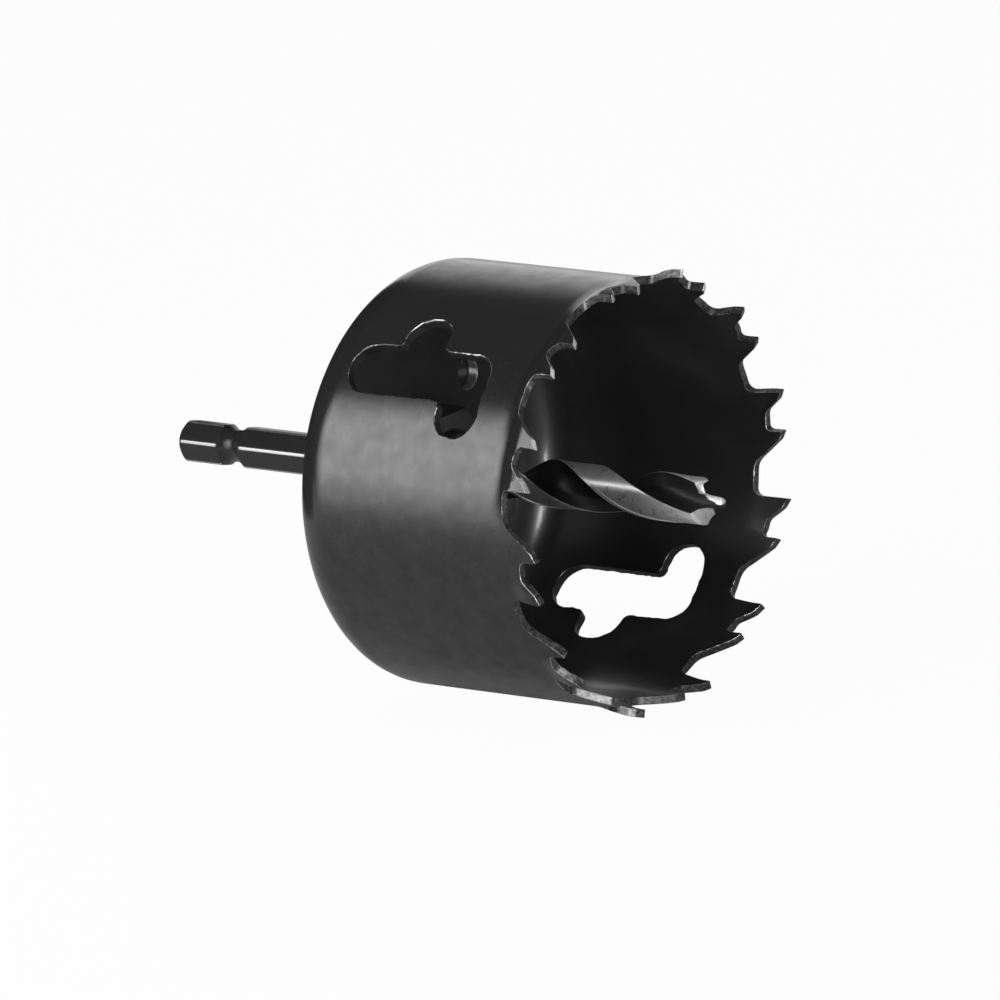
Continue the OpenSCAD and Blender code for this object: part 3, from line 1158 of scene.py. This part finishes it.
def shank_bare(x, r, turn_deg):
    """1 along the turned corners of the shank, where it has rubbed bright."""
    if r != SHANK_R or x > SHOULDER_X - 0.4 or shank_r(x) < 3.3:
        return 0.0
    off_corner = abs((turn_deg - HEX_TURN + 30) % 60 - 30)
    return 1 - ease((off_corner - 2.0) / 3.4)


def build_arbor():
    path = [(DRILL_HOLE_X, 0), (DRILL_HOLE_X, 3.54), (33.0, DRILL_HOLE_R), (53.8, DRILL_HOLE_R)]
    path += [(STUD_END_X, 3.9), (STUD_END_X, STUD_R)]
    path += [(54.1 - 0.1 * k, STUD_R) for k in range(117)]
    path += [(42.4, STUD_R - 0.01), (COLLAR_END_X, STUD_R - 0.02), (COLLAR_END_X, 7.75)]
    path += [(41.93, 7.93), (41.75, COLLAR_R), (32.15, COLLAR_R), (31.9, 7.93), (31.07, 7.1)]
    path += [(SHOULDER_X, 6.9), (SHOULDER_X, 4.2)]
    near = [30.9, 30.5, 30, 28, 26, 24, 22, 20, 18, 16, 14.5, 13.4]
    groove = [12.8 - 0.1 * k for k in range(57)]
    end = [6.6, 5, 3.5, 2.5, 1.6, 1.3, 1.1, 1.0, 0.9, 0.8, 0.7, 0.6, 0.45, 0.3, 0.15, 0.0]
    path += [(x, SHANK_R) for x in (*near, *groove, *end)]
    path += [(0.0, 1.5), (0.0, 0)]
    return turned("arbor_body", path, 192, False, arbor_shape, shank_bare)


def drill_across(made):
    """Cuts the grub screw's hole through one side of the collar."""
    cutter_mesh = bpy.data.meshes.new("cutter")
    cutter = bmesh.new()
    place = Matrix.Translation(Vector((GRUB_X, 0, 6.0)) * MM)
    bmesh.ops.create_cone(cutter, cap_ends=True, segments=48, radius1=GRUB_HOLE_R * MM,
                          radius2=GRUB_HOLE_R * MM, depth=8 * MM, matrix=place)
    cutter.to_mesh(cutter_mesh)
    cutter.free()
    tool = show("cutter", cutter_mesh)
    cut = made.modifiers.new("grub_hole", "BOOLEAN")
    cut.operation = "DIFFERENCE"
    cut.solver = "EXACT"
    cut.object = tool
    bpy.context.view_layer.update()
    drilled = made.evaluated_get(bpy.context.evaluated_depsgraph_get())
    result = bpy.data.meshes.new_from_object(drilled)
    made.modifiers.clear()
    made.data = result
    result.name = "arbor_body"
    result.shade_smooth()
    result.set_sharp_from_angle(angle=radians(30))
    bpy.data.objects.remove(tool)
    print("arbor after drilling:", len(result.polygons), "faces")


arbor = build_arbor()
drill_across(arbor)

# %% [markdown]
# The lock nut clamps the cup against the washer. The bevels on both sides of the nut are turned,
# so they cut the six corners to the curved edges that every nut has. The washer only shows its
# rim and its back behind the cup.

# %% Nut and washer
NUT_AF = 18.0
NUT_X = 45.8
NUT_T = 6.0
NUT_CORNER_R = 10.392
NUT_HOLE_R = 6.1
# Bevel of the nut: distances from its end, and from the axis
NUT_BEVEL = [(0.0, 9.2), (0.06, 9.42), (0.2, 9.71), (0.35, 9.97), (0.5, 10.2),
             (0.62, NUT_CORNER_R), (0.9, NUT_CORNER_R)]
WASHER = [(42.0, 6.25), (42.0, 20.6), (42.05, 20.78), (42.22, 20.95), (42.4, 21.0), (43.8, 21.0),
          (43.94, 20.94), (44.0, 20.8), (44.0, 6.25), (43.8, 6.05), (42.2, 6.05)]


def nut_shape(x, r, turn_deg):
    return near_least([r, flat_r(NUT_AF, turn_deg, 0)], 0.04) if r > 8 else r


def build_nut():
    end_x = NUT_X + NUT_T
    path = [(NUT_X, 6.75), (NUT_X, 7.8)]
    path += [(NUT_X + x, r) for x, r in NUT_BEVEL]
    path += [(NUT_X + NUT_T / 2, NUT_CORNER_R)]
    path += [(end_x - x, r) for x, r in reversed(NUT_BEVEL)]
    path += [(end_x, 7.8), (end_x, 6.75), (end_x - 0.65, NUT_HOLE_R), (NUT_X + 0.65, NUT_HOLE_R)]
    return turned("lock_nut_body", path, 120, True, nut_shape)


nut = build_nut()
washer = turned("washer_disc", WASHER, 160, True)

# %% [markdown]
# The cup is covered with a thin black coat. It is satin, with a faint orange peel and fine marks
# that run round the wall from the drawing of the cup. Where edges have rubbed, and on the ground
# tips of the teeth, bare steel shows through in small broken patches. The inside is grey,
# lightest near the base.

# %% Finish of the cup


def shine(recipe, **puts):
    """Principled surface with its output. Names are the sockets' names with _ for a space."""
    named = {name.replace("_", " "): value for name, value in puts.items()}
    surface = recipe.node("BsdfPrincipled", named)
    recipe.node("OutputMaterial", {"Surface": surface})


def raised(recipe, height, millimetres):
    """Normal from a height between 0 and 1, which stands for so many millimetres."""
    puts = {"Height": height, "Distance": millimetres * MM, "Strength": 1.0}
    return recipe.node("Bump", puts)


def coat_finish():
    """Satin black coat, rubbed bare on its edges, ground on the rim and grey inside."""
    material, recipe = new_finish("satin_black_coat")
    places = recipe.places()
    peel = recipe.grain(places, 0.6)
    fine = recipe.grain(places, 5.0)
    marks = recipe.grain(recipe.places((2.2, 0.25, 0.25)), 1.6, 3.0, 0.6)
    cloud = recipe.grain(places, 0.12)
    smear = recipe.grain(places, 0.3, 3.0, 0.5)
    chips = recipe.grain(places, 1.3, 4.0, 0.7)
    grit = recipe.grain(places, 2.4)
    where_rubbed = recipe.grain(places, 0.16)
    along = recipe.part(places, "X")
    worn = recipe.mask("worn")
    side = recipe.mask("cut")
    cut = side.at_least(0.0)
    inner = recipe.step(side * -1.0, 0.3, 0.7)
    ground = recipe.step(cut, 0.5, 0.95)
    # Where bare steel shows: in patches along the edges, and all over at the tips
    patch = (where_rubbed - 0.5) * (2.6 - ground * 1.8)
    rub = recipe.step(worn * 0.7 + ground * 0.1 + (chips - 0.5) * 1.5 + patch, 0.62, 0.86)
    rub = rub * recipe.step(worn, 0.1, 0.6)
    tip = recipe.step(worn, 1.05, 1.35)
    # The colours from the coat up: coat, grey inside, ground faces, rubbed edges, tips
    # Grey inside the cup, lighter towards the base
    inside_grey = inner * (0.75 + (cloud - 0.5) * 0.5) * (1 - recipe.step(along, 52, 64) * 0.68)
    spots = recipe.step(chips * 0.65 + grit * 0.35, 0.36, 0.66)
    mottled = recipe.blend(spots, (0.04, 0.04, 0.041), (0.24, 0.24, 0.24))
    colour = recipe.blend(cloud, (0.02, 0.02, 0.021), (0.027, 0.027, 0.028))
    colour = recipe.blend(inside_grey, colour, (0.14, 0.14, 0.141))
    colour = recipe.blend(ground, colour, mottled)
    colour = recipe.blend(rub, colour, (0.55, 0.55, 0.56))
    colour = recipe.blend(tip, colour, (0.92, 0.92, 0.92))
    rough = 0.21 + (peel - 0.5) * 0.08 + (marks - 0.5) * 0.1 + (cut * 0.8).at_most(0.28)
    rough = rough - ground * 0.08 + inner * 0.12 - tip * 0.1
    # The clear film lies on the whole coat and is thin inside
    blotch = (peel - 0.5) * 0.25 + (marks - 0.5) * 0.4 + (smear - 0.5) * 0.95
    film = (0.42 + blotch) * (1 - rub) * (1 - cut * 3.0).at_least(0) * (1 - inner * 0.5)
    height = peel * 0.35 + fine * 0.08 + marks * 0.25 - rub * 0.3 + ground * chips * 0.8
    shine(recipe, Base_Color=colour, Roughness=rough, Coat_Weight=film.at_least(0),
          Metallic=(rub * 0.7 + ground * 0.4).at_most(0.95), Coat_Roughness=0.12,
          Normal=raised(recipe, height, 0.03))
    return material


place_piece(cup, coat_finish(), "cup")

# %% [markdown]
# The arbor, the nut, the washer and the grub screw are blackened: the steel is oxidised in a hot
# bath, which keeps the marks of the lathe and turns dark grey. Edges are rubbed brighter, and
# inside the cup the steel is a lighter grey. The Bevel node compares the surface with a rounded
# one, so it finds the edges of any mesh.

# %% Blackened steel


def blackened_finish():
    """Black oxide with the marks of the lathe, rubbed on its edges and lighter grey inside the cup.
    """
    material, recipe = new_finish("blackened_steel")
    places = recipe.places()
    lathe_marks = recipe.grain(recipe.places((6.0, 0.12, 0.12)), 1.4, 3.0, 0.6)
    cloud = recipe.grain(places, 0.35, 3.0, 0.55)
    specks = recipe.grain(places, 2.6, 3.0, 0.65)
    plain = recipe.node("NewGeometry", out="Normal")
    soft = recipe.node("Bevel", {"Radius": 0.25 * MM}, samples=6)
    edge = recipe.step(1 - recipe.compare("DOT_PRODUCT", plain, soft), 0.01, 0.09)
    corner = recipe.mask("worn")
    rubbed = recipe.step(edge * 0.6 + (specks - 0.5) * 1.3, 0.5, 0.85)
    bare = rubbed.at_least(recipe.step(corner + (specks - 0.5) * 0.5, 0.35, 0.7))
    # Lighter grey on everything inside the cup
    inside_grey = recipe.step(recipe.part(places, "X"), 44.5, 45.5) * (0.8 + (cloud - 0.5) * 0.5)
    colour = recipe.blend(cloud, (0.022, 0.022, 0.023), (0.028, 0.028, 0.029))
    colour = recipe.blend(inside_grey, colour, (0.24, 0.24, 0.242))
    colour = recipe.blend(bare, colour, (0.5, 0.5, 0.5))
    rough = 0.24 + (cloud - 0.5) * 0.12 + (lathe_marks - 0.5) * 0.1 + corner * 0.08
    shine(recipe, Base_Color=colour, Roughness=rough, Metallic=bare * 0.75,
          Normal=raised(recipe, lathe_marks * 0.5 + specks * 0.2, 0.01))
    return material


blackened = blackened_finish()
for piece, node in ((arbor, "arbor"), (nut, "lock_nut"), (washer, "backing_washer")):
    place_piece(piece, blackened, node)

# %% [markdown]
# The grub screw keeps its mesh from the CAD. A Bevel modifier breaks its edges.

# %% Grub screw
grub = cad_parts["grub_screw"]
grub.data.materials.clear()
grub.data.materials.append(blackened)
edge_break = grub.modifiers.new("edge_break", "BEVEL")
edge_break.width = 0.12 * MM
edge_break.segments = 2
edge_break.limit_method = "ANGLE"
edge_break.angle_limit = radians(50)
print("the grub screw keeps its", len(grub.data.polygons), "faces, with broken edges")

# %% [markdown]
# The drill was blackened whole, and then its lands and its point were ground. Ground steel is
# bright, with fine lines that run round the bar. The flutes stay black and slightly glossy. Parts
# of the point carry a painted highlight, and the brad point's lower side is painted black as shade.

# %% Ground steel and black flutes


def drill_finish():
    """Black bar with ground lands, and a painted highlight and painted shade on the point."""
    material, recipe = new_finish("ground_steel")
    places = recipe.places()
    lines = recipe.grain(recipe.places((9.0, 0.5, 0.5)), 1.5, 3.0, 0.65)
    cloud = recipe.grain(places, 0.7, 3.0, 0.5)
    specks = recipe.grain(places, 3.5, 3.0, 0.6)
    # On the brad point this mask is painted light and shade
    ground = recipe.step(recipe.mask("cut") + (specks - 0.5) * 0.2, 0.4, 0.6)
    # On the drill the worn mask carries the painted highlight
    painted_highlight = recipe.mask("worn")
    steel = recipe.blend(cloud, (0.62, 0.62, 0.63), (0.82, 0.82, 0.82))
    steel = recipe.blend(painted_highlight, steel, (0.96, 0.96, 0.96))
    black = recipe.blend(cloud, (0.008, 0.008, 0.009), (0.014, 0.014, 0.015))
    colour = recipe.blend(ground, black, steel)
    rough = 0.4 - ground * 0.09 + painted_highlight * 0.14 + (lines - 0.5) * ground * 0.14
    rough = rough + (cloud - 0.5) * 0.2
    height = (lines + specks * 0.1) * ground + specks * 0.05
    shine(recipe, Base_Color=colour, Roughness=rough, Metallic=ground * (0.55 - painted_highlight * 0.25),
          Normal=raised(recipe, height, 0.0035))
    return material


place_piece(drill, drill_finish(), "pilot_drill")
